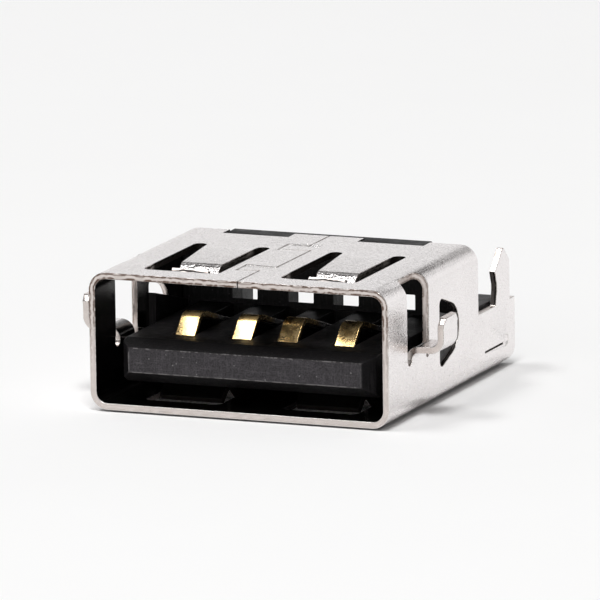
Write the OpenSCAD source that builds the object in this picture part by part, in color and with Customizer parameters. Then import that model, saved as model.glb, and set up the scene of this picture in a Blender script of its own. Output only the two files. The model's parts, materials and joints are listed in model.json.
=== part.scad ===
// Sunk board socket for a flat four-contact plug.
// It lies on one broad face with its board side up and its mouth towards -Y.
// Origin: middle of the box on the resting face. Units: millimetres.

/* [Shell] */
// Outside width of the folded shell
shell_width = 13.1; // [13:0.05:13.4]
// Outside height of the folded shell
shell_height = 5.7; // [5.65:0.05:5.9]
// Depth of the upper face, from the mouth to its rear edge
upper_depth = 10; // [9.7:0.1:11]
// Depth of the lower face, from the mouth to its rear edge
lower_depth = 14.1; // [13.8:0.1:16]
// Thickness of the sheet
sheet = 0.27; // [0.22:0.01:0.3]
// Outside radius of the four long bends
bend_r = 0.75; // [0.6:0.05:0.9]
// Height of the side walls behind the upper face
low_wall = 2.8; // [2.6:0.05:2.9]

/* [Seam] */
// Width of the closed seam in the upper face
seam_gap = 0.04; // [0.03:0.01:0.1]
// Reach of the seam's interlocking tongues to the left of the middle
seam_reach = 0.95; // [0.7:0.05:1.1]
// Offset of the seam to the right, between its tongues
seam_shift = 0.41; // [0.3:0.02:0.6]
// Width of each interlocking tongue
seam_tongue = 1; // [0.8:0.05:1.2]

/* [Springs] */
// Distance between the middles of the two springs in a broad face
spring_pitch = 6; // [5.8:0.05:6.2]
// Width of the window around a spring
window_width = 3.3; // [3.1:0.05:3.4]
// Distance from the mouth to the front of the windows
window_front = 1.2; // [1:0.05:1.5]
// Distance from the mouth to the root of the springs
spring_root = 6.64; // [6.4:0.05:7]
// Width of the slot on each side of an upper spring
upper_slot = 0.52; // [0.4:0.02:0.6]
// Width of the slot on each side of a lower spring
lower_slot = 0.2; // [0.16:0.02:0.4]
// Distance from the mouth to the crease where a spring turns down into its bump
spring_crease = 3.6; // [3.5:0.05:3.9]
// Dip of a spring between its root and the crease, in degrees
spring_dip = 2; // [1:0.25:3]
// Slope of both sides of the bump, in degrees
bump_angle = 40; // [36:1:44]

/* [Side cuts] */
// Distance from the mouth to the slot that each front leg is cut from
slot_front = 2.1; // [1.9:0.05:2.3]
// Length of that slot along the wall
slot_length = 2.35; // [2.2:0.05:2.5]
// Distance from the mouth to the straight front edge of the side window
side_window_front = 5.65; // [5.4:0.05:6]
// Height of the side window's straight front edge
side_window_height = 2.8; // [2.5:0.05:3]
// Radius of the side window's round rear end
side_window_r = 1.08; // [0.9:0.02:1.2]
// Length of the latch slit low on the rear of each side wall
latch_length = 2.05; // [1.6:0.05:2.3]

/* [Legs] */
// Height of the faces that the board rests on
seat_height = 2.94; // [2.9:0.02:3.05]
// Reach of a front leg's outer face beyond the side wall
wing_reach = 1.38; // [1.3:0.02:1.6]
// Width of a front leg along the wall
wing_width = 1.55; // [1.4:0.05:1.6]
// Height of a front leg's tip
front_leg_top = 4.12; // [4:0.02:4.4]
// Distance from the mouth to a rear leg
rear_leg_front = 11.95; // [11.7:0.05:12.1]
// Width of a rear leg along the wall
rear_leg_width = 1.58; // [1.5:0.02:1.64]
// Height of a rear leg's tip
rear_leg_top = 5.05; // [4.9:0.05:5.3]

/* [Housing] */
// Width of the tongue
tongue_width = 11.1; // [10.9:0.05:11.2]
// Height of the tongue's lower face
tongue_low = 0.96; // [0.94:0.02:1.1]
// Height of the tongue's contact face
tongue_high = 2.78; // [2.7:0.02:2.84]
// Distance from the mouth to the tongue's front face
tongue_front = 0.6; // [0.5:0.05:0.9]
// Distance from the mouth to the back wall
back_wall = 9.2; // [8.9:0.05:9.2]

/* [Contacts] */
// Width of a contact
contact_width = 0.85; // [0.7:0.05:0.95]
// Thickness of a contact
contact_thick = 0.2; // [0.15:0.01:0.22]
// Height of the top of a contact's arch
arch_top = 3.52; // [3.4:0.02:3.7]
// Distance from the mouth to the top of the arch
arch_middle = 3.9; // [3.75:0.05:4.1]
// Height of a contact tail's tip
tail_top = 5; // [4.6:0.05:5.1]

/* [Hidden] */
$fn = 64;
// Overshoot of a cutting solid past the face that it cuts
cut = 0.2;
// Largest turn of one facet in a bend, in degrees
bend_facet = 5;
// Clearance between the housing and the shell
fit = 0.03;
inner_width = shell_width - 2 * sheet;
inner_height = shell_height - 2 * sheet;
inner_r = bend_r - sheet;
mid_height = shell_height / 2;
// The mouth lies half the shell's depth in front of the origin
mouth_y = -lower_depth / 2;

// Notches at the rear of the upper face, and the pads that fill them
notch_inner = 1.55;
notch_outer = 4.43;
notch_front = upper_depth - 0.75;
pad_drop = 0.02;
back_rear = upper_depth + 0.35;

// Springs: plan and side outline
upper_taper = 0.49;
lower_taper = 0.1;
window_corner = 0.3;
spring_anchor = 0.3;
spring_bend_r = 1.5;
crease_r = 0.25;
bump_wall = 0.45;
bump_r = 0.35;
spring_tip = 0.6;

// Side window: middles of its round corners and the tilt of its two sloping edges
side_corner_r = 0.25;
side_corner = [side_window_front + side_corner_r, side_window_height / 2 - side_corner_r];
side_round = side_window_front + side_window_r;
side_slant = 2 * atan2(side_corner[1], side_window_r - side_corner_r) - 90;

// Front legs
slot_rear = slot_front + slot_length;
wing_front = slot_front + (slot_length - wing_width) * 0.6;
wing_rear = wing_front + wing_width;
wing_root_r = 0.3;
wing_fold_r = 0.33;
wing_root_low = seat_height - sheet - wing_root_r;
relief_low = wing_root_low - 0.2;
slot_inner = shell_width / 2 - 0.55;
slot_corner = 0.5;
leg_tip_chamfer = 0.22;
leg_tip_lean = 7;
front_leg_kink = front_leg_top - 0.38;

// Rear legs: a neck under a barb that holds in the board, and a sloping tip
rear_leg_rear = rear_leg_front + rear_leg_width;
rear_leg_root = low_wall - 0.7;
rear_neck = 0.15;
rear_neck_low = low_wall + 0.6;
rear_neck_high = rear_leg_top - 1.4;
rear_barb = 0.06;
rear_barb_height = rear_leg_top - 0.82;
rear_tip = [0.8, 0.95];
rear_tip_drop = 0.58;

// Latch: a slit with a dimple behind it
latch_front = lower_depth - 3.4;
latch_low = 1.04;
latch_slit = 0.08;
dimple_middle = [lower_depth - 1, latch_low + 0.12];
dimple_r = 0.34;
dimple_depth = 0.09;

// Tongue: lead-in at the front end
lead_length = 0.9;
nose_low = tongue_low + 0.54;
nose_high = tongue_high - 0.26;
nose_side = 0.45;
nose_side_length = 0.55;

// Rear block of the housing: a floor under the contacts between two shoulders under the board
block_rear = lower_depth - 0.7;
block_floor = tongue_high - 0.93;
shoulder_inner = 4.85;
// Gap beside the rear block, so that it slides in past the rear legs
block_gap = 0.1;
// Openings through the back wall over the contacts, with floors that fall to the rear
opening_side = 0.13;
opening_low = tongue_high + 0.22;
opening_height = 0.62;
opening_drop = 0.42;

// Arms along the side walls, each with a boss in the side window
arm_thick = 0.22;
arm_front = side_window_front + 0.1;
arm_low = mid_height - side_window_height / 2;
arm_top_front = 3.74;
arm_top_rear = 2.8;
boss_gap = 0.08;
boss_sink = 0.1;

// Contacts: places and side outline
contact_x = [-3.5, -1, 1, 3.5];
contact_low = block_floor + contact_thick / 2;
arch_r = 0.67;
arch_front_angle = 46;
tip_low = tongue_high - 0.35;
arch_end = arch_top - contact_thick / 2 - arch_r * (1 - cos(arch_front_angle));
tip_run = (arch_end - tip_low) / sin(arch_front_angle);
tip_front = arch_middle - arch_r * sin(arch_front_angle) - tip_run * cos(arch_front_angle);
groove_front = tip_front - 0.7 * contact_thick;
beam_bend_r = 1.5;
beam_end = back_wall - 0.2;
tail_bend_r = 0.35;
tail_middle = upper_depth + 2.35;
tail_width = contact_width * 0.7;
groove_gap = 0.06;

// Rectangle with round corners, centred on the origin
module rounded_rect(w, h, r) {
  square([w - 2 * r, h], center = true);
  square([w, h - 2 * r], center = true);
  for (x = [-1, 1])
    for (y = [-1, 1])
      translate([x * (w / 2 - r), y * (h / 2 - r)])
        circle(r);
}

// Unit vector at an angle
function unit(angle) = [cos(angle), sin(angle)];

// Middle line of a strip from the origin along +X, as points with headings.
// Each step is [run] or [bend radius, turn in degrees].
function middle_line(steps, i = 0, at = [0, 0], heading = 0) =
  i == len(steps) ? [[at, heading]] :
  len(steps[i]) == 1 ? concat(
    [[at, heading]],
    middle_line(steps, i + 1, at + steps[i][0] * unit(heading), heading)
  ) :
  let (
    turn = steps[i][1],
    count = ceil(abs(turn) / bend_facet),
    arm = sign(turn) * steps[i][0],
    centre = at + arm * unit(heading + 90)
  )
  concat(
    [for (k = [0 : count - 1]) let (h = heading + turn * k / count) [centre - arm * unit(h + 90), h]],
    middle_line(steps, i + 1, centre - arm * unit(heading + turn + 90), heading + turn)
  );

// Outline of a strip of even thickness along such a middle line
module bent_strip(steps, thick) {
  line = middle_line(steps);
  upper = [for (p = line) p[0] + thick / 2 * unit(p[1] + 90)];
  lower = [for (i = [len(line) - 1 : -1 : 0]) line[i][0] - thick / 2 * unit(line[i][1] + 90)];
  polygon(concat(upper, lower));
}

// Raises a drawing of (x, z) into a slab between two depths
module depth_slab(front, rear) {
  translate([0, rear, 0])
    rotate([90, 0, 0])
      linear_extrude(height = rear - front)
        children();
}

// Raises a drawing of (y, z) into a slab between two values of x
module width_slab(left, right) {
  translate([left, 0, 0])
    rotate([90, 0, 90])
      linear_extrude(height = right - left)
        children();
}

// Raises a drawing of (distance towards the mouth, z) into a slab centred on x = 0
module spring_slab(width) {
  rotate([90, 0, -90])
    linear_extrude(height = width, center = true)
      children();
}

// Copies its children to both side walls
module both_sides() {
  children();
  mirror([1, 0, 0])
    children();
}

// Folded tube, cut down to low walls behind the upper face
module folded_tube() {
  difference() {
    depth_slab(0, lower_depth)
      translate([0, mid_height])
        rounded_rect(shell_width, shell_height, bend_r);
    depth_slab(-cut, lower_depth + cut)
      translate([0, mid_height])
        rounded_rect(inner_width, inner_height, inner_r);
    translate([-shell_width, upper_depth, low_wall])
      cube([2 * shell_width, lower_depth, shell_height]);
  }
}

// Opening around one spring, drawn in the broad face
module spring_window(slot) {
  slot_middle = (window_width - slot) / 2;
  translate([-window_width / 2, window_front + window_corner])
    square([window_width, spring_root - window_front - window_corner]);
  translate([-window_width / 2 + window_corner, window_front])
    square([window_width - 2 * window_corner, 2 * window_corner]);
  for (x = [-1, 1]) {
    translate([x * (window_width / 2 - window_corner), window_front + window_corner])
      circle(window_corner);
    translate([x * slot_middle, spring_root])
      circle(slot / 2);
  }
}

// One spring: it dips from its root to a crease, then bends down and up again in a bump at its tip
module spring(slot, taper) {
  width = window_width - 2 * slot;
  reach = spring_root + spring_anchor;
  bend_run = spring_bend_r * sin(spring_dip);
  leaf_run = (reach - 2 * spring_anchor - bend_run - spring_crease) / cos(spring_dip);
  steps = [
    [2 * spring_anchor],
    [spring_bend_r, -spring_dip],
    [leaf_run],
    [crease_r, spring_dip - bump_angle],
    [bump_wall],
    [bump_r, 2 * bump_angle],
    [spring_tip]
  ];
  intersection() {
    translate([0, reach, shell_height - sheet / 2])
      spring_slab(width)
        bent_strip(steps, sheet);
    linear_extrude(height = shell_height + cut)
      polygon([
        [-width / 2, reach + cut],
        [width / 2, reach + cut],
        [width / 2, spring_root],
        [width / 2 - taper, 0],
        [-width / 2 + taper, 0],
        [-width / 2, spring_root]
      ]);
  }
}

// Places its children at both springs of the upper face
module at_springs() {
  for (x = [-1, 1])
    translate([x * spring_pitch / 2, 0, 0])
      children();
}

// Turns a shape of the upper face over to the lower face
module turned_over() {
  translate([0, 0, shell_height])
    mirror([0, 0, 1])
      children();
}

// Narrow groove between two points of the upper face
module groove(from, to) {
  run = to - from;
  translate(from)
    rotate(atan2(run[1], run[0]))
      translate([-seam_gap / 2, -seam_gap / 2])
        square([norm(run) + seam_gap, seam_gap]);
}

// Seam: two tongues of the right edge lock into the left edge
module seam() {
  flare = 0.1;
  first = 2.3;
  second = 6.8;
  points = [
    [0, -cut],
    [0, first + flare],
    [-seam_reach, first - flare],
    [-seam_reach, first + seam_tongue + flare],
    [seam_shift, first + seam_tongue - flare],
    [seam_shift, second + flare],
    [-seam_reach, second - flare],
    [-seam_reach, second + seam_tongue + flare],
    [0, second + seam_tongue - flare],
    [0, upper_depth + cut]
  ];
  for (i = [1 : len(points) - 1])
    groove(points[i - 1], points[i]);
}

// Notches at the rear of the upper face
module rear_notches() {
  for (x = [-1, 1])
    translate([x * (notch_inner + notch_outer) / 2, notch_front + upper_depth / 2])
      square([notch_outer - notch_inner, upper_depth], center = true);
}

// Slot through a side wall and its upper bend, with a relief on each side of the leg's root
module leg_slot() {
  translate([slot_inner, slot_front, wing_root_low])
    linear_extrude(height = shell_height) {
      translate([slot_corner, 0])
        square([shell_width, slot_length]);
      for (y = [slot_corner, slot_length - slot_corner])
        translate([slot_corner, y])
          circle(slot_corner);
      translate([0, slot_corner])
        square([2 * slot_corner, slot_length - 2 * slot_corner]);
    }
  width_slab(shell_width / 2 - bend_r, shell_width / 2 + cut)
    for (edge = [[slot_front, wing_front], [wing_rear, slot_rear]]) {
      relief_r = (edge[1] - edge[0]) / 2;
      translate([edge[0] + relief_r, relief_low + relief_r])
        circle(relief_r);
      translate([edge[0], relief_low + relief_r])
        square([edge[1] - edge[0], wing_root_low - relief_low]);
    }
}

// Outline of the side window: straight in front, round behind
module side_window_outline(inset) {
  small = side_corner_r - inset;
  large = side_window_r - inset;
  across = unit(90 - side_slant);
  translate([0, mid_height]) {
    translate([side_round, 0])
      circle(large);
    for (side = [0, 1])
      mirror([0, side]) {
        translate(side_corner)
          circle(small);
        polygon([
          [side_window_front + inset, 0],
          [side_window_front + inset, side_corner[1]],
          side_corner + small * across,
          [side_round, 0] + large * across,
          [side_round, 0]
        ]);
      }
  }
}

// Window in a side wall
module side_window() {
  width_slab(shell_width / 2 - bend_r, shell_width / 2 + cut)
    side_window_outline(0);
}

// Latch that holds the housing: a slit with a dimple behind it
module latch_cut() {
  width_slab(shell_width / 2 - bend_r, shell_width / 2 + cut)
    translate([latch_front, latch_low])
      square([latch_length, latch_slit]);
  translate([shell_width / 2 + dimple_r - dimple_depth, dimple_middle[0], dimple_middle[1]])
    sphere(dimple_r);
}

// Cuts off the two corners of a front leg's tip
module tip_corners(front, rear, top) {
  reach = 2 * leg_tip_chamfer;
  width_slab(shell_width / 2, shell_width)
    for (y = [front, rear])
      translate([y, top])
        rotate(45)
          square(reach / sqrt(2), center = true);
}

// Front leg: bent out of its slot under the board, folded up through the board
module front_leg() {
  root_run = 0.4;
  fold_r = wing_fold_r + sheet / 2;
  root_r = wing_root_r + sheet / 2;
  wing_run = wing_reach - sheet / 2 - fold_r - wing_root_r;
  fold_top = seat_height - sheet / 2 + fold_r;
  steps = [
    [root_run],
    [root_r, -90],
    [wing_run],
    [fold_r, 90],
    [front_leg_kink - fold_top],
    [fold_r, -leg_tip_lean],
    [front_leg_top - front_leg_kink]
  ];
  difference() {
    depth_slab(wing_front, wing_rear)
      translate([shell_width / 2 - sheet / 2, wing_root_low - root_run])
        rotate(90)
          bent_strip(steps, sheet);
    tip_corners(wing_front, wing_rear, front_leg_top);
  }
}

// Rear leg: it stands up from the low wall, with a barb in front and a sloping tip
module rear_leg() {
  width_slab(shell_width / 2 - sheet, shell_width / 2)
    polygon([
      [rear_leg_front, rear_leg_root],
      [rear_leg_rear, rear_leg_root],
      [rear_leg_rear, rear_leg_top - rear_tip_drop],
      [rear_leg_front + rear_tip[1], rear_leg_top],
      [rear_leg_front + rear_tip[0], rear_leg_top],
      [rear_leg_front - rear_barb, rear_barb_height],
      [rear_leg_front + rear_neck, rear_neck_high],
      [rear_leg_front + rear_neck, rear_neck_low],
      [rear_leg_front, low_wall]
    ]);
}

// Shell, folded from one sheet
module shell() {
  color("#d3d0cb")
    translate([0, mouth_y, 0]) {
      difference() {
        folded_tube();
        at_springs()
          translate([0, 0, mid_height])
            linear_extrude(height = shell_height)
              spring_window(upper_slot);
        turned_over()
          at_springs()
            translate([0, 0, mid_height])
              linear_extrude(height = shell_height)
                spring_window(lower_slot);
        translate([0, 0, mid_height])
          linear_extrude(height = shell_height) {
            seam();
            rear_notches();
          }
        both_sides() {
          leg_slot();
          side_window();
          latch_cut();
        }
      }
      at_springs()
        spring(upper_slot, upper_taper);
      turned_over()
        at_springs()
          spring(lower_slot, lower_taper);
      both_sides() {
        front_leg();
        rear_leg();
      }
    }
}

// Tongue with a lead-in on all sides of its nose
module tongue() {
  half = tongue_width / 2;
  intersection() {
    width_slab(-half, half)
      polygon([
        [tongue_front, nose_low],
        [tongue_front + lead_length, tongue_low],
        [back_wall + cut, tongue_low],
        [back_wall + cut, tongue_high],
        [tongue_front + lead_length, tongue_high],
        [tongue_front, nose_high]
      ]);
    linear_extrude(height = shell_height)
      polygon([
        [-half + nose_side, tongue_front],
        [half - nose_side, tongue_front],
        [half, tongue_front + nose_side_length],
        [half, back_wall + cut],
        [-half, back_wall + cut],
        [-half, tongue_front + nose_side_length]
      ]);
  }
}

// Section of the housing inside the shell, on its lower face
module housing_section() {
  translate([0, mid_height - fit / 2])
    rounded_rect(inner_width - 2 * fit, inner_height - fit, inner_r);
}

// Back wall, and the low block behind it with its two shoulders
module back_and_block() {
  half = inner_width / 2 - block_gap;
  depth_slab(back_wall, back_rear)
    housing_section();
  depth_slab(back_rear - cut, block_rear)
    intersection() {
      housing_section();
      union() {
        translate([-half, 0])
          square([2 * half, block_floor]);
        for (x = [-half, shoulder_inner])
          translate([x, 0])
            square([half - shoulder_inner, seat_height]);
      }
    }
}

// Outline of an arm, with its top sloping down to the back wall
module arm_outline() {
  polygon([
    [arm_front, arm_low],
    [back_wall + cut, arm_low],
    [back_wall + cut, arm_top_rear],
    [arm_front, arm_top_front]
  ]);
}

// Arm along the right wall, with a boss that fills the side window up to the slope
module side_arm() {
  face = inner_width / 2 - fit;
  width_slab(face - arm_thick, face)
    arm_outline();
  width_slab(face - cut / 2, shell_width / 2 - boss_sink)
    intersection() {
      arm_outline();
      side_window_outline(boss_gap);
    }
}

// Pads that fill the notches of the shell, and the rim that joins them behind its upper face
module pads() {
  width = notch_outer - notch_inner - 2 * fit;
  front = notch_front + fit;
  height = mid_height - pad_drop;
  for (x = [-1, 1])
    translate([x * (notch_inner + notch_outer) / 2 - width / 2, front, mid_height])
      cube([width, back_rear - front, height]);
  translate([-notch_outer + fit, upper_depth + fit, mid_height])
    cube([2 * (notch_outer - fit), back_rear - upper_depth - fit, height]);
}

// Groove along the tongue and tunnel through the back wall for one contact, with the opening above it
module contact_channel() {
  half = contact_width / 2 + groove_gap;
  opening = contact_width / 2 + opening_side;
  width_slab(-half, half) {
    translate([groove_front, block_floor])
      square([back_wall - groove_front - fit, seat_height]);
    translate([back_wall - 2 * fit, block_floor])
      square([block_rear, contact_thick]);
  }
  width_slab(-opening, opening)
    polygon([
      [back_wall - cut, opening_low],
      [back_wall, opening_low],
      [back_rear, opening_low - opening_drop],
      [back_rear + cut, opening_low - opening_drop],
      [back_rear + cut, opening_low + opening_height],
      [back_wall - cut, opening_low + opening_height]
    ]);
}

// Housing, one moulding
module housing() {
  color("#1b1b1c")
    translate([0, mouth_y, 0])
      difference() {
        union() {
          tongue();
          back_and_block();
          both_sides()
            side_arm();
          pads();
        }
        for (x = contact_x)
          translate([x, 0, 0])
            contact_channel();
      }
}

// Contact: tip in the tongue, arch, beam, run through the back wall, tail up through the board
module contact(x) {
  top = arch_top - contact_thick / 2;
  // The beam is the straight line that touches the arch and the bend at the beam's end
  both_r = arch_r + beam_bend_r;
  across = beam_end - arch_middle;
  down = both_r - top + contact_low;
  beam_run = sqrt(across * across + down * down - both_r * both_r);
  beam_angle = atan2(both_r, beam_run) - atan2(down, across);
  lying = [
    [tip_run],
    [arch_r, -arch_front_angle - beam_angle],
    [beam_run],
    [beam_bend_r, beam_angle],
    [tail_middle - tail_bend_r - beam_end]
  ];
  standing = [
    [contact_thick],
    [tail_bend_r, 90],
    [tail_top - contact_low - tail_bend_r]
  ];
  color("#d8a94a")
    translate([x, mouth_y, 0]) {
      width_slab(-contact_width / 2, contact_width / 2)
        translate([tip_front, tip_low])
          rotate(arch_front_angle)
            bent_strip(lying, contact_thick);
      width_slab(-tail_width / 2, tail_width / 2)
        translate([tail_middle - tail_bend_r - contact_thick, contact_low])
          bent_strip(standing, contact_thick);
    }
}

module contact_1() { contact(contact_x[0]); }
module contact_2() { contact(contact_x[1]); }
module contact_3() { contact(contact_x[2]); }
module contact_4() { contact(contact_x[3]); }

shell();
housing();
contact_1();
contact_2();
contact_3();
contact_4();
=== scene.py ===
"""Studio scene of a sunk board socket: folded nickel shell, black tongue moulding and four gold contacts."""

import json
import math

import bpy
from mathutils import Matrix, Vector

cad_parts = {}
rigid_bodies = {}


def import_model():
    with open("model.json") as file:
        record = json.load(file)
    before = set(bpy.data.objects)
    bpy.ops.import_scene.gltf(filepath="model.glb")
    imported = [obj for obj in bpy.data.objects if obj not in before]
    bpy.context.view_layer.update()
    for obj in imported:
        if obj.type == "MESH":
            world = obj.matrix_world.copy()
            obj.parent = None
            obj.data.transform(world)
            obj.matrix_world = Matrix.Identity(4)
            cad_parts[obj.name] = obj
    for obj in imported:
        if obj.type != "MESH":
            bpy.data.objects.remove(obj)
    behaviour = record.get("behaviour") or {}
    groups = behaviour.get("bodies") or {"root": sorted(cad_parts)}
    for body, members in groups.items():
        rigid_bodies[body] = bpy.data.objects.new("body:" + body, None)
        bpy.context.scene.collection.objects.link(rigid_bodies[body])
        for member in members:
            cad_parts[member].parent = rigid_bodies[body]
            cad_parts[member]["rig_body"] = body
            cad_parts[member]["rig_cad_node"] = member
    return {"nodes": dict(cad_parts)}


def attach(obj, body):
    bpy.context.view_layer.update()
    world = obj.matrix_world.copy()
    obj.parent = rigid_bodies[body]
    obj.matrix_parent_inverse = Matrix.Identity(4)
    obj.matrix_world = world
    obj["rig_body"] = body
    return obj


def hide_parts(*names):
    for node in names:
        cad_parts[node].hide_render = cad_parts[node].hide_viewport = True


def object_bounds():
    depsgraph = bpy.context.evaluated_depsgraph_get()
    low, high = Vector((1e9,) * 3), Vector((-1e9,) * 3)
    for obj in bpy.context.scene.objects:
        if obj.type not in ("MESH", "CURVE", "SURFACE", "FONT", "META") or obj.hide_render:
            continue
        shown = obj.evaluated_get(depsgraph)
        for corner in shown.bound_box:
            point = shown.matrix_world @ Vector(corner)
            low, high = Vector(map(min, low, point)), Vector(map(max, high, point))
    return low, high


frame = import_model()
cad_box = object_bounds()

# Sizes of the part that the finishes follow
MM = 0.001
MOUTH_Y = cad_box[0][1]
TUBE_HEIGHT = cad_box[1][2]
TUBE_WIDTH = 13.1 * MM
SHEET = 0.27 * MM
BEND_RADIUS = 0.75 * MM
SPRING_PITCH = 6 * MM
CORE_WIDTH = TUBE_WIDTH / 2 - BEND_RADIUS
CORE_HEIGHT = TUBE_HEIGHT / 2 - BEND_RADIUS

# Joining and rounding of the copied solids
WELD_DISTANCE = 0.0005 * MM
FLAT_ANGLE = math.radians(0.5)
SMOOTH_ANGLE = math.radians(30)
SHARP_ANGLE = math.radians(35)
EDGE_SEGMENTS = 2
SHELL_EDGE = 0.025 * MM
HOUSING_EDGE = 0.035 * MM
CONTACT_EDGE = 0.02 * MM

# Faces of the shell that count as cut across the sheet
CUT_NARROWEST = 0.5 * SHEET
CUT_WIDEST = 1.02 * SHEET
CUT_ACROSS = 0.5
TUBE_MARGIN = 0.01 * MM

# Material slots
PLATED, SHEARED, WORN, INNER = range(4)
RUBBED = 1
GOLD = 0


# Modelling helpers

def only(piece):
    """Makes one object the whole selection."""
    bpy.ops.object.select_all(action="DESELECT")
    piece.select_set(True)
    bpy.context.view_layer.objects.active = piece


def joined_copy(node, name):
    """Copies a CAD node and joins its loose triangles into whole faces."""
    only(frame["nodes"][node])
    bpy.ops.object.duplicate()
    piece = bpy.context.view_layer.objects.active
    bpy.ops.object.parent_clear(type="CLEAR_KEEP_TRANSFORM")
    piece.name = piece.data.name = name
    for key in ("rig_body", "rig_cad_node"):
        if key in piece:
            del piece[key]
    piece.data.materials.clear()
    bpy.ops.object.mode_set(mode="EDIT")
    bpy.ops.mesh.select_all(action="SELECT")
    bpy.ops.mesh.remove_doubles(threshold=WELD_DISTANCE)
    bpy.ops.mesh.dissolve_limited(angle_limit=FLAT_ANGLE)
    bpy.ops.object.mode_set(mode="OBJECT")
    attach(piece, "root")
    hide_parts(node)
    return piece


def round_edges(piece, radius, edge_slot):
    """Rounds the sharp edges and gives the new faces the material in one slot."""
    only(piece)
    rounding = piece.modifiers.new("rounding", "BEVEL")
    rounding.width = radius
    rounding.segments = EDGE_SEGMENTS
    rounding.limit_method = "ANGLE"
    rounding.angle_limit = SHARP_ANGLE
    rounding.use_clamp_overlap = False
    rounding.harden_normals = True
    rounding.material = edge_slot
    bpy.ops.object.shade_smooth_by_angle(angle=SMOOTH_ANGLE)
    bpy.ops.object.modifier_apply(modifier="rounding")


def sheet_normal(place):
    """Outward direction of the folded tube's wall nearest to a place."""
    height = place.z - TUBE_HEIGHT / 2
    over_x = abs(place.x) - CORE_WIDTH
    over_z = abs(height) - CORE_HEIGHT
    if min(over_x, over_z) < 0:
        over_x, over_z = (1, 0) if over_x > over_z else (0, 1)
    outward = Vector((math.copysign(over_x, place.x), 0, math.copysign(over_z, height)))
    return outward.normalized()


def mark_cut_faces(piece):
    """Gives the faces across the sheet, where it was cut, their material."""
    mesh = piece.data
    for face in mesh.polygons:
        corners = [mesh.vertices[i].co for i in face.vertices]
        around = sum((a - b).length for a, b in zip(corners, corners[1:] + corners[:1]))
        narrow = CUT_NARROWEST < 2 * face.area / around < CUT_WIDEST
        in_tube = abs(face.center.x) < TUBE_WIDTH / 2 + TUBE_MARGIN
        across = abs(face.normal.dot(sheet_normal(face.center))) < CUT_ACROSS
        if narrow or in_tube and across:
            face.material_index = SHEARED


def mark_inner_faces(piece):
    """Gives the plated faces that look into the tube their material."""
    middle = Vector((0, 0, TUBE_HEIGHT / 2))
    for face in piece.data.polygons:
        outward = face.center - middle
        outward.y = 0
        if face.material_index == PLATED and face.normal.dot(outward) < 0:
            face.material_index = INNER


# Shader helpers

class Tree:
    """Adds nodes and links to one node tree."""

    def __init__(self, tree):
        self.tree = tree
        tree.nodes.clear()

    def node(self, kind, inputs=None, **values):
        """Adds a node; an input is a plain value or an output of another node."""
        made = self.tree.nodes.new(kind)
        for key, value in values.items():
            setattr(made, key, value)
        for key, value in (inputs or {}).items():
            if isinstance(value, bpy.types.NodeSocket):
                self.tree.links.new(value, made.inputs[key])
            else:
                made.inputs[key].default_value = value
        return made

    def split_place(self):
        """Keeps the three axes of the place."""
        axes = self.node("ShaderNodeSeparateXYZ", {"Vector": self.place}).outputs
        self.x, self.y, self.z = axes["X"], axes["Y"], axes["Z"]

    def spread(self, value, low, high, to_low=0.0, to_high=1.0):
        """Maps a value from one range to another, with a soft start and end."""
        inputs = {"Value": value, "From Min": low, "From Max": high, "To Min": to_low, "To Max": to_high}
        return self.node("ShaderNodeMapRange", inputs, interpolation_type="SMOOTHSTEP").outputs["Result"]

    def rising(self, value, step):
        """Mask that rises from 0 to 1 over a soft step."""
        return self.spread(value, *step)

    def falling(self, value, step):
        """Mask that falls from 1 to 0 over a soft step."""
        return self.spread(value, *step, 1.0, 0.0)

    def vary(self, mask, low, high):
        """Value that runs from low to high with a mask."""
        return self.spread(mask, 0.0, 1.0, low, high)

    def calc(self, operation, *values):
        """Result of a calculation on plain values or outputs."""
        return self.node("ShaderNodeMath", dict(enumerate(values)), operation=operation).outputs["Value"]

    def vector(self, operation, *values, output="Vector"):
        """Result of a calculation on vectors."""
        return self.node("ShaderNodeVectorMath", dict(enumerate(values)), operation=operation).outputs[output]

    def product(self, *masks):
        """Mask that is full only where all the masks are."""
        joint = masks[0]
        for mask in masks[1:]:
            joint = self.calc("MULTIPLY", joint, mask)
        return joint

    def away(self, value, middle):
        """Distance of a value from its middle."""
        return self.calc("ABSOLUTE", self.calc("SUBTRACT", value, middle))

    def from_spring(self):
        """Distance from the middle line of the nearest spring."""
        return self.away(self.calc("ABSOLUTE", self.x), SPRING_PITCH / 2)

    def blend(self, share, first, second):
        """Mix of two colours or values."""
        made = self.node("ShaderNodeMix", {0: share, 6: first, 7: second}, data_type="RGBA")
        return made.outputs[2]

    def tint(self, colour, mask, paint, share):
        """Colour with a share of a paint where the mask is."""
        return self.blend(self.calc("MULTIPLY", mask, share), colour, paint)


class Effect(Tree):
    """Shader node group that takes a place and some values, and puts out masks."""

    def __init__(self, name, outputs, **defaults):
        self.group = bpy.data.node_groups.new(name, "ShaderNodeTree")
        super().__init__(self.group)
        sockets = self.group.interface
        sockets.new_socket("Place", in_out="INPUT", socket_type="NodeSocketVector")
        for label, value in defaults.items():
            kind = "NodeSocketVector" if isinstance(value, tuple) else "NodeSocketFloat"
            sockets.new_socket(label, in_out="INPUT", socket_type=kind).default_value = value
        for label in outputs:
            sockets.new_socket(label, in_out="OUTPUT", socket_type="NodeSocketFloat")
        self.given = self.node("NodeGroupInput").outputs
        self.out = self.node("NodeGroupOutput").inputs
        self.place = self.given["Place"]

    def texture_scale(self, label):
        """Scale of a texture whose size is given in millimetres."""
        return self.calc("DIVIDE", 1 / MM, self.given[label])

    def put(self, label, value):
        """Gives one of the group's outputs its value."""
        self.tree.links.new(value, self.out[label])


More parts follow.
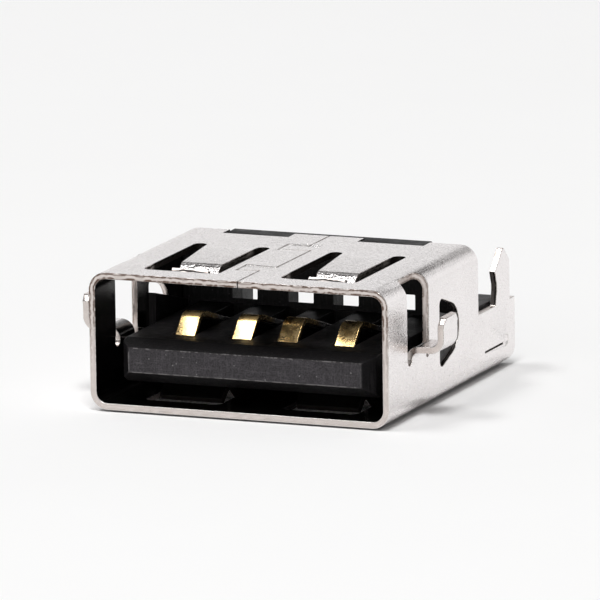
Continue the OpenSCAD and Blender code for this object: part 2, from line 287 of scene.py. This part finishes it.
class Finish(Tree):
    """Tree of one material, with the place on the piece."""

    def __init__(self, name):
        self.material = bpy.data.materials.new(name)
        self.material.use_nodes = True
        super().__init__(self.material.node_tree)
        self.place = self.node("ShaderNodeTexCoord").outputs["Object"]
        self.split_place()

    def use(self, group, **values):
        """Outputs of a shared effect at this place."""
        return self.node("ShaderNodeGroup", {"Place": self.place, **values}, node_tree=group).outputs

    def bump(self, height, strength, depth, over=None):
        """Normal of a raised surface, over another one where that is given."""
        inputs = {"Height": height, "Strength": strength, "Distance": depth}
        if over is not None:
            inputs["Normal"] = over
        return self.node("ShaderNodeBump", inputs).outputs["Normal"]

    def close(self, colour, roughness, normal, metallic=0.0, specular=0.5):
        """Ends the tree with its shader and gives the material."""
        inputs = {"Base Color": colour, "Roughness": roughness, "Normal": normal,
                  "Metallic": metallic, "Specular IOR Level": specular}
        shader = self.node("ShaderNodeBsdfPrincipled", inputs)
        self.node("ShaderNodeOutputMaterial", {"Surface": shader.outputs["BSDF"]})
        return self.material


# Places of the marks on the finishes: a pair is the start and end of a soft step

def behind(distance):
    """Y of a place so many millimetres behind the mouth."""
    return MOUTH_Y + distance * MM


def below_top(distance):
    """Z of a place so many millimetres below the upper face."""
    return TUBE_HEIGHT - distance * MM


# The seam's cross cuts, which have a burr
UPPER_FACE_Z = below_top(0.1), below_top(0.05)
SEAM_LEFT_X = -1.0 * MM, -0.9 * MM
SEAM_RIGHT_X = 0.4 * MM, 0.5 * MM
SEAM_CUTS_Y = behind(3.2), behind(7.85)
SEAM_CUT_REACH = 0.12 * MM, 0.26 * MM

# The springs' leaves, lightened as painted sheen, and their crumpled ends; a reach starts at a spring's
# middle line
LEAF_REACH = 1.2 * MM, 1.3 * MM
LEAF_FRONT_Y = behind(3.3), behind(3.5)
LEAF_ROOT_Y = behind(6.2), behind(6.8)
SPRING_END_Z = below_top(0.22), below_top(0.15)
SPRING_SIDES_X = 4.8 * MM, 5.2 * MM

# The painted shade line across the upper spring ends
SHADE_LINE_Z = below_top(0.175)
SHADE_LINE_HALF_SPAN = 0.8 * MM
SHADE_LINE_BOW = 0.06 * MM
SHADE_LINE_WAVER = 0.025 * MM
SHADE_LINE_WIDTH = 0.018 * MM, 0.04 * MM
SHADE_LINE_REACH = 0.9 * MM, 1.0 * MM
SHADE_LINE_FRONT_Y = behind(1.8), behind(2.0)
SHADE_LINE_BACK_Y = behind(2.4), behind(2.6)

# Painted shade: the dark strips low on the bends and under the mouth, where the part meets the floor
LOW_BEND_Z = 0.07 * MM, 0.16 * MM
LOW_BEND_X = 5.5 * MM, 5.8 * MM
UNDERSIDE_Z = 0.01 * MM, 0.03 * MM
UNDER_MOUTH_Y = behind(0.5), behind(0.9)

# The shaded cut edges of the spring windows and the left slot
PAST_MOUTH_Y = behind(0.3), behind(0.5)
UPPER_CUTS_Z = below_top(0.4), below_top(0.34)
WINDOW_INNER_REACH = 1.05 * MM, 1.12 * MM
WINDOW_OUTER_REACH = 1.75 * MM, 1.85 * MM
WINDOW_FRONT_Y = behind(2.0), behind(2.5)
LEFT_SLOT_X = -5.8 * MM, -5.7 * MM
LOWER_CUTS_Z = 1.5 * MM, 1.7 * MM
LOWER_CUTS_X = 5.3 * MM, 5.6 * MM
LOWER_LEFT_X = -4.66 * MM, -4.6 * MM

# The mouth's edge
MOUTH_EDGE_Y = behind(0.05), behind(0.12)
MOUTH_SIDES_Z = 1.5 * MM, below_top(0.9)

# The tongue's front and the contacts' arches
TONGUE_FACE_Y = behind(0.62), behind(0.66)
TONGUE_EDGE_Y = behind(0.66), behind(0.7)
TONGUE_END_X = 4.9 * MM, 5.2 * MM
TONGUE_LOWER_Z = 2.2 * MM, 2.4 * MM
ARCH_END_Y = behind(4.85), behind(5.55)
RIGHT_PAIR_SHADE_X = -0.2 * MM, 0.2 * MM


# Shared effects

def make_grain():
    """Fine grain and broad clouds, both about 0 to 1."""
    contrast = 0.25, 0.75
    t = Effect("grain_and_clouds", ["Grain", "Clouds"], grain_mm=0.05, cloud_mm=2.0)
    for label, size, detail in (("Grain", "grain_mm", 3), ("Clouds", "cloud_mm", 4)):
        inputs = {"Vector": t.place, "Scale": t.texture_scale(size), "Detail": detail, "Roughness": 0.6}
        noise = t.node("ShaderNodeTexNoise", inputs).outputs["Fac"]
        t.put(label, t.rising(noise, contrast))
    return t.group


def make_specks():
    """Scattered round specks; a larger share leaves more of them."""
    dot_edge = 0.12, 0.3
    t = Effect("specks", ["Mask"], spacing_mm=0.15, share=0.1)
    inputs = {"Vector": t.place, "Scale": t.texture_scale("spacing_mm"), "Randomness": 1.0}
    cells = t.node("ShaderNodeTexVoronoi", inputs).outputs
    lot = t.node("ShaderNodeSeparateColor", {"Color": cells["Color"]}).outputs["Red"]
    chosen = t.calc("LESS_THAN", lot, t.given["share"])
    t.put("Mask", t.product(chosen, t.falling(cells["Distance"], dot_edge)))
    return t.group


def make_streaks():
    """Thin broken streaks, long on the axis that has the small stretch."""
    contrast = 0.52, 0.72
    t = Effect("streaks", ["Mask"], stretch=(1, 1, 0.06), spacing_mm=0.06)
    drawn = t.vector("MULTIPLY", t.place, t.given["stretch"])
    inputs = {"Vector": drawn, "Scale": t.texture_scale("spacing_mm"), "Detail": 2}
    noise = t.node("ShaderNodeTexNoise", inputs).outputs["Fac"]
    t.put("Mask", t.rising(noise, contrast))
    return t.group


def make_sheet_depth():
    """Depth in the folded tube's sheet, 0 at its outer face and 1 at its inner face."""
    t = Effect("sheet_depth", ["Depth"])
    centred = t.vector("SUBTRACT", t.place, (0, 0, TUBE_HEIGHT / 2))
    size = t.vector("ABSOLUTE", t.vector("MULTIPLY", centred, (1, 0, 1)))
    past = t.vector("SUBTRACT", size, (CORE_WIDTH, 0, CORE_HEIGHT))
    reach = t.vector("LENGTH", t.vector("MAXIMUM", past, (0, 0, 0)), output="Value")
    t.put("Depth", t.calc("DIVIDE", t.calc("SUBTRACT", BEND_RADIUS, reach), SHEET))
    return t.group


def make_window_edges():
    """Mask of the shaded edges: at the upper spring windows, in the lower ones and on the left slot."""
    t = Effect("window_edges", ["Mask"])
    t.split_place()
    from_spring = t.from_spring()
    window = t.product(t.rising(from_spring, WINDOW_INNER_REACH), t.falling(from_spring, WINDOW_OUTER_REACH),
                       t.rising(t.y, WINDOW_FRONT_Y))
    slot = t.falling(t.x, LEFT_SLOT_X)
    upper = t.product(t.rising(t.z, UPPER_CUTS_Z), t.calc("MAXIMUM", window, slot))
    lower = t.product(t.falling(t.z, LOWER_CUTS_Z), t.falling(t.calc("ABSOLUTE", t.x), LOWER_CUTS_X),
                      t.rising(t.x, LOWER_LEFT_X))
    t.put("Mask", t.product(t.rising(t.y, PAST_MOUTH_Y), t.calc("MAXIMUM", upper, lower)))
    return t.group


def make_mouth_edge():
    """Strength of the brown lines: full on the mouth's upper edge, less behind it and at the bottom."""
    behind_share, bottom_share = 0.7, 0.12
    t = Effect("mouth_edge", ["Mask"])
    t.split_place()
    along = t.spread(t.y, *MOUTH_EDGE_Y, to_low=1.0, to_high=behind_share)
    t.put("Mask", t.product(along, t.spread(t.z, *MOUTH_SIDES_Z, to_low=bottom_share)))
    return t.group


GRAIN = make_grain()
SPECKS = make_specks()
STREAKS = make_streaks()
DEPTH = make_sheet_depth()
EDGES = make_window_edges()
MOUTH = make_mouth_edge()


# Materials

def satin_nickel():
    """Plated face of the sheet: grain, clouds, specks, painted sheen on the spring leaves, seam burrs and
    painted shade on the lower edges.
    """
    plate = (0.87, 0.834, 0.829, 1), (0.91, 0.874, 0.869, 1)
    dull_spot = (0.55, 0.52, 0.50, 1)
    painted_contact_shade = (0.045, 0.04, 0.037, 1)
    painted_leaf_sheen = (0.97, 0.935, 0.93, 1)
    dull_roughness = 0.12
    f = Finish("satin_nickel")
    fine = f.use(GRAIN, grain_mm=0.09, cloud_mm=1.6)
    wave = f.use(GRAIN, grain_mm=0.24, cloud_mm=6.0)
    dull = f.use(SPECKS, spacing_mm=0.16, share=0.09)["Mask"]
    side = f.calc("ABSOLUTE", f.x)
    low_bend_shade = f.product(f.falling(f.z, LOW_BEND_Z), f.rising(side, LOW_BEND_X))
    front = f.product(f.falling(f.z, UNDERSIDE_Z), f.falling(f.y, UNDER_MOUTH_Y))
    leaf_sheen = f.product(f.falling(f.from_spring(), LEAF_REACH), f.rising(f.y, LEAF_FRONT_Y),
                     f.falling(f.y, LEAF_ROOT_Y))
    colour = f.blend(fine["Clouds"], *plate)
    colour = f.tint(colour, dull, dull_spot, share=0.3)
    # painted shade where the part meets the floor: low on the bends and under the mouth
    colour = f.blend(f.calc("MAXIMUM", low_bend_shade, front), colour, painted_contact_shade)
    # painted sheen: the spring leaves lightened
    colour = f.blend(leaf_sheen, colour, painted_leaf_sheen)
    rough = f.calc("MULTIPLY_ADD", dull, dull_roughness, f.vary(fine["Grain"], low=0.18, high=0.3))
    crumpled = f.product(f.falling(f.z, SPRING_END_Z), f.falling(side, SPRING_SIDES_X), wave["Grain"])
    from_cut = f.calc("MINIMUM", *(f.away(f.y, cut) for cut in SEAM_CUTS_Y))
    seam = f.product(f.rising(f.x, SEAM_LEFT_X), f.falling(f.x, SEAM_RIGHT_X))
    burr = f.product(seam, f.falling(from_cut, SEAM_CUT_REACH), f.rising(f.z, UPPER_FACE_Z), fine["Grain"])
    normal = f.bump(wave["Clouds"], strength=0.4, depth=0.05 * MM)
    normal = f.bump(fine["Grain"], strength=0.55, depth=0.01 * MM, over=normal)
    normal = f.bump(crumpled, strength=0.6, depth=0.07 * MM, over=normal)
    normal = f.bump(burr, strength=0.9, depth=0.06 * MM, over=normal)
    return f.close(colour, rough, normal, metallic=1.0)


def shaded_inner_nickel():
    """Inside of the tube: the same plating, smoother, with its colour darkened as painted shade."""
    # painted shade: the plating's colour darkened inside the tube
    plate = (0.20, 0.19, 0.186, 1), (0.28, 0.265, 0.26, 1)
    dull_spot = (0.12, 0.11, 0.105, 1)
    f = Finish("shaded_inner_nickel")
    fine = f.use(GRAIN, grain_mm=0.08, cloud_mm=1.2)
    dull = f.use(SPECKS, spacing_mm=0.2, share=0.1)["Mask"]
    colour = f.blend(fine["Clouds"], *plate)
    colour = f.tint(colour, dull, dull_spot, share=0.4)
    rough = f.vary(fine["Grain"], low=0.12, high=0.2)
    normal = f.bump(fine["Grain"], strength=0.4, depth=0.006 * MM)
    return f.close(colour, rough, normal, metallic=1.0)


def spring_end_shade_line(f, clouds):
    """Mask of a bowed line of painted shade across the ends of the upper springs."""
    from_spring = f.from_spring()
    bow = f.calc("POWER", f.calc("DIVIDE", from_spring, SHADE_LINE_HALF_SPAN), 2.0)
    drop = f.calc("ADD", f.calc("MULTIPLY", bow, SHADE_LINE_BOW), f.vary(clouds, -SHADE_LINE_WAVER, SHADE_LINE_WAVER))
    from_line = f.away(f.calc("ADD", f.z, drop), SHADE_LINE_Z)
    return f.product(f.falling(from_line, SHADE_LINE_WIDTH), f.falling(from_spring, SHADE_LINE_REACH),
                     f.rising(f.y, SHADE_LINE_FRONT_Y), f.falling(f.y, SHADE_LINE_BACK_Y))


def sheared_nickel():
    """Cut faces across the sheet: broken brown lines, partly the cut's own colour and partly painted edge
    shade, and painted shade at the windows and on the spring ends' line.
    """
    cut = (0.60, 0.545, 0.515, 1), (0.74, 0.675, 0.64, 1)
    brown = (0.13, 0.085, 0.065, 1)
    shade = (0.01, 0.008, 0.007, 1)
    outer_start, outer_end, inner_start = (0.0, 0.12), (0.25, 0.42), (0.62, 0.85)
    f = Finish("sheared_nickel")
    fine = f.use(GRAIN, grain_mm=0.05, cloud_mm=0.5)
    tear = f.calc("ADD", f.use(DEPTH)["Depth"], f.vary(fine["Clouds"], low=-0.15, high=0.15))
    # broken brown lines near the outer and inner faces: partly the cut's own colour, partly painted edge
    # shade
    line = f.product(f.rising(tear, outer_start), f.falling(tear, outer_end))
    line = f.calc("MAXIMUM", line, f.rising(tear, inner_start))
    broken = f.spread(fine["Clouds"], 0.2, 0.6, to_low=0.45)
    line = f.product(line, broken, f.use(MOUTH)["Mask"])
    # painted shade at the window and slot edges and along the spring ends' line
    shaded = f.calc("MAXIMUM", f.use(EDGES)["Mask"], spring_end_shade_line(f, fine["Clouds"]))
    colour = f.blend(fine["Clouds"], *cut)
    colour = f.blend(line, colour, brown)
    colour = f.blend(shaded, colour, shade)
    rough = f.spread(tear, 0.2, 0.5, to_low=0.2, to_high=0.34)
    normal = f.bump(fine["Grain"], strength=0.3, depth=0.003 * MM)
    return f.close(colour, rough, normal, metallic=f.calc("SUBTRACT", 1.0, shaded), specular=0.1)


def worn_nickel():
    """Rounded edges of the sheet: bright where rubbed, with broken brown dashes along the mouth."""
    plate = (0.74, 0.70, 0.67, 1), (0.88, 0.86, 0.84, 1)
    brown = (0.15, 0.10, 0.08, 1)
    shade = (0.012, 0.01, 0.009, 1)
    f = Finish("worn_nickel")
    fine = f.use(GRAIN, grain_mm=0.07, cloud_mm=0.35)
    dash = f.product(f.spread(fine["Clouds"], 0.3, 0.55, to_low=0.25), f.use(MOUTH)["Mask"])
    shaded = f.use(EDGES)["Mask"]
    colour = f.blend(fine["Grain"], *plate)
    colour = f.tint(colour, dash, brown, share=0.85)
    colour = f.blend(shaded, colour, shade)
    rough = f.vary(fine["Grain"], low=0.2, high=0.34)
    normal = f.bump(fine["Grain"], strength=0.4, depth=0.003 * MM)
    return f.close(colour, rough, normal, metallic=f.calc("SUBTRACT", 1.0, shaded), specular=0.1)


def black_moulding():
    """Matte black moulding: darker away from the tongue's front as painted shade; scuffed on the front, with
    pale dust specks and faint scratches.
    """
    painted_shade_black = (0.005, 0.0046, 0.005, 1), (0.012, 0.011, 0.012, 1)
    scuffed_black = (0.020, 0.018, 0.020, 1), (0.062, 0.056, 0.062, 1)
    pale_streak = (0.12, 0.112, 0.118, 1)
    dark_patch = (0.012, 0.011, 0.012, 1)
    pale_scratch = (0.13, 0.125, 0.13, 1)
    pale_dust = (0.30, 0.29, 0.29, 1)
    f = Finish("black_moulding")
    fine = f.use(GRAIN, grain_mm=0.07, cloud_mm=0.5)
    dust = f.use(SPECKS, spacing_mm=0.15, share=0.10)["Mask"]
    upright = f.use(STREAKS)["Mask"]
    across = f.use(STREAKS, stretch=(0.05, 1, 1), spacing_mm=0.05)["Mask"]
    front = f.falling(f.y, TONGUE_FACE_Y)
    shaded_black_tone = f.blend(fine["Grain"], *painted_shade_black)
    scuffed = f.blend(fine["Grain"], *scuffed_black)
    scuffed = f.tint(scuffed, across, pale_streak, share=0.35)
    scuffed = f.blend(f.spread(fine["Clouds"], 0.35, 0.75, to_low=0.3, to_high=0.0), scuffed, dark_patch)
    # painted shade: everything but the tongue's front is darker than the front's black
    colour = f.blend(front, shaded_black_tone, scuffed)
    colour = f.tint(colour, upright, pale_scratch, share=0.12)
    colour = f.tint(colour, dust, pale_dust, share=f.vary(front, low=0.12, high=0.5))
    rough = f.vary(fine["Clouds"], low=0.40, high=0.52)
    normal = f.bump(fine["Grain"], strength=0.5, depth=0.012 * MM)
    return f.close(colour, rough, normal, specular=0.2)


def rubbed_moulding():
    """Edges of the moulding, rubbed to a broken grey line on the tongue's front."""
    plain = (0.012, 0.011, 0.012, 1)
    grey = (0.16, 0.152, 0.152, 1)
    f = Finish("rubbed_moulding")
    fine = f.use(GRAIN, grain_mm=0.06, cloud_mm=0.18)
    upper_line = f.spread(fine["Clouds"], 0.4, 0.75, to_low=0.1, to_high=0.8)
    lower_line = f.spread(fine["Clouds"], 0.2, 0.6, to_low=0.35)
    worn = f.blend(f.falling(f.z, TONGUE_LOWER_Z), upper_line, lower_line)
    front = f.product(f.spread(f.y, *TONGUE_EDGE_Y, to_low=1.0, to_high=0.1),
                      f.spread(f.x, *TONGUE_END_X, to_low=1.0, to_high=0.1))
    colour = f.blend(f.product(worn, front), plain, grey)
    rough = f.vary(fine["Grain"], low=0.35, high=0.5)
    normal = f.bump(fine["Grain"], strength=0.4, depth=0.006 * MM)
    return f.close(colour, rough, normal, specular=0.2)


def gold_plating():
    """Gold on the arches where the plug slides, with brown tarnish spots that are thicker on the right pair
    as painted shade, and grey plating behind.
    """
    plate = (0.84, 0.55, 0.21, 1), (0.92, 0.70, 0.36, 1)
    brown_spot = (0.30, 0.17, 0.05, 1)
    grey_plate = (0.60, 0.585, 0.57, 1)
    f = Finish("gold_plating")
    fine = f.use(GRAIN, grain_mm=0.035, cloud_mm=0.4)
    spots = f.use(SPECKS, spacing_mm=0.06, share=0.55)["Mask"]
    # brown tarnish spots on all arches, thicker on the right pair as painted shade
    tarnish_and_shade = f.product(spots, f.spread(f.x, *RIGHT_PAIR_SHADE_X, to_low=0.25, to_high=0.95))
    gold = f.blend(tarnish_and_shade, f.blend(fine["Clouds"], *plate), brown_spot)
    colour = f.blend(f.rising(f.y, ARCH_END_Y), gold, grey_plate)
    rough = f.vary(fine["Clouds"], low=0.2, high=0.3)
    normal = f.bump(fine["Grain"], strength=0.35, depth=0.003 * MM)
    return f.close(colour, rough, normal, metallic=1.0)


def white_paper():
    """Matte white paper with faint clouds."""
    white = (0.94, 0.938, 0.936, 1), (0.95, 0.949, 0.948, 1)
    f = Finish("white_paper")
    fibre = f.use(GRAIN, grain_mm=0.4, cloud_mm=30.0)
    shader = f.node("ShaderNodeBsdfDiffuse", {"Color": f.blend(fibre["Clouds"], *white)})
    f.node("ShaderNodeOutputMaterial", {"Surface": shader.outputs["BSDF"]})
    return f.material


# Pieces

shell = joined_copy("shell", "folded_shell")
for finish in (satin_nickel(), sheared_nickel(), worn_nickel(), shaded_inner_nickel()):
    shell.data.materials.append(finish)
mark_cut_faces(shell)
mark_inner_faces(shell)
round_edges(shell, SHELL_EDGE, WORN)

housing = joined_copy("housing", "tongue_moulding")
for finish in (black_moulding(), rubbed_moulding()):
    housing.data.materials.append(finish)
round_edges(housing, HOUSING_EDGE, RUBBED)

plated = gold_plating()
for number in range(1, 5):
    contact = joined_copy(f"contact_{number}", f"contact_strip_{number}")
    contact.data.materials.append(plated)
    round_edges(contact, CONTACT_EDGE, GOLD)


# Paper floor

FLOOR_SIZE = 4
FLOOR_GAP = 0.08 * MM
bpy.ops.object.select_all(action="DESELECT")
bpy.ops.mesh.primitive_plane_add(size=FLOOR_SIZE, location=(0, 0, -FLOOR_GAP))
floor = bpy.context.view_layer.objects.active
floor.name = "paper_floor"
floor.data.materials.append(white_paper())


# Studio light: soft steps on the direction that the light comes from, which has the length 1
BACK_Y = 0.25, 0.6
SWEEP_TOP_Z = 0.35, 0.46
CEILING_Z = 0.62, 0.85
RIGHT_X = 0.45, 0.7
RIGHT_Z = 0.22, 0.4

# Each lamp's name, place and size in metres, and power in watts
LAMPS = (("key", (0.16, -0.4, 1.0), (0.32, 0.32), 6.3),
         ("upper_left", (-0.4, -0.2, 1.0), (0.44, 0.24), 3.2))


def studio_light():
    """White low down, grey above, with a dark right side and a dark gap behind, below the ceiling."""
    sweep = (0.99, 0.985, 0.985, 1)
    ceiling = (0.22, 0.22, 0.22, 1)
    dark_side = (0.05, 0.05, 0.05, 1)
    dark_gap = (0.08, 0.076, 0.072, 1)
    world = bpy.data.worlds.new("studio")
    bpy.context.scene.world = world
    world.use_nodes = True
    t = Tree(world.node_tree)
    t.place = t.node("ShaderNodeTexCoord").outputs["Generated"]
    t.split_place()
    above_sweep = t.rising(t.z, SWEEP_TOP_Z)
    right_side = t.product(t.rising(t.x, RIGHT_X), t.rising(t.z, RIGHT_Z))
    gap = t.product(t.rising(t.y, BACK_Y), above_sweep, t.falling(t.z, CEILING_Z))
    level = t.blend(above_sweep, sweep, ceiling)
    level = t.blend(right_side, level, dark_side)
    level = t.blend(gap, level, dark_gap)
    light = t.node("ShaderNodeBackground", {"Color": level, "Strength": 1.0})
    t.node("ShaderNodeOutputWorld", {"Surface": light.outputs["Background"]})


def soft_box(name, place, size, power):
    """Rectangular lamp that faces the part."""
    lamp = bpy.data.lights.new(name, "AREA")
    lamp.shape = "RECTANGLE"
    lamp.size, lamp.size_y = size
    lamp.energy = power
    made = bpy.data.objects.new(name, lamp)
    bpy.context.scene.collection.objects.link(made)
    made.location = place
    made.rotation_euler = (-Vector(place)).to_track_quat("-Z", "Y").to_euler()


studio_light()
for values in LAMPS:
    soft_box(*values)


# Camera at the photograph's viewing angle

AZIMUTH = math.radians(22.29)
ELEVATION = math.radians(11.49)
ROLL = math.radians(-0.82)
TARGET = Vector((0.685, -2.05, 4.014)) * MM
DISTANCE = 489.7 * MM
LENS = 719.8
SENSOR = 36

level_right = Vector((math.cos(AZIMUTH), math.sin(AZIMUTH), 0))
level_ahead = Vector((-math.sin(AZIMUTH), math.cos(AZIMUTH), 0))
ahead = level_ahead * math.cos(ELEVATION) - Vector((0, 0, math.sin(ELEVATION)))
level_up = level_right.cross(ahead)
right = level_right * math.cos(ROLL) + level_up * math.sin(ROLL)
up = level_up * math.cos(ROLL) - level_right * math.sin(ROLL)
turn = Matrix((right, up, -ahead)).transposed().to_4x4()
eye = bpy.data.objects.new("camera", bpy.data.cameras.new("camera"))
bpy.context.scene.collection.objects.link(eye)
eye.matrix_world = Matrix.Translation(TARGET - ahead * DISTANCE) @ turn
eye.data.lens = LENS
eye.data.sensor_width = SENSOR
bpy.context.scene.camera = eye
bpy.context.scene.view_settings.view_transform = "Standard"
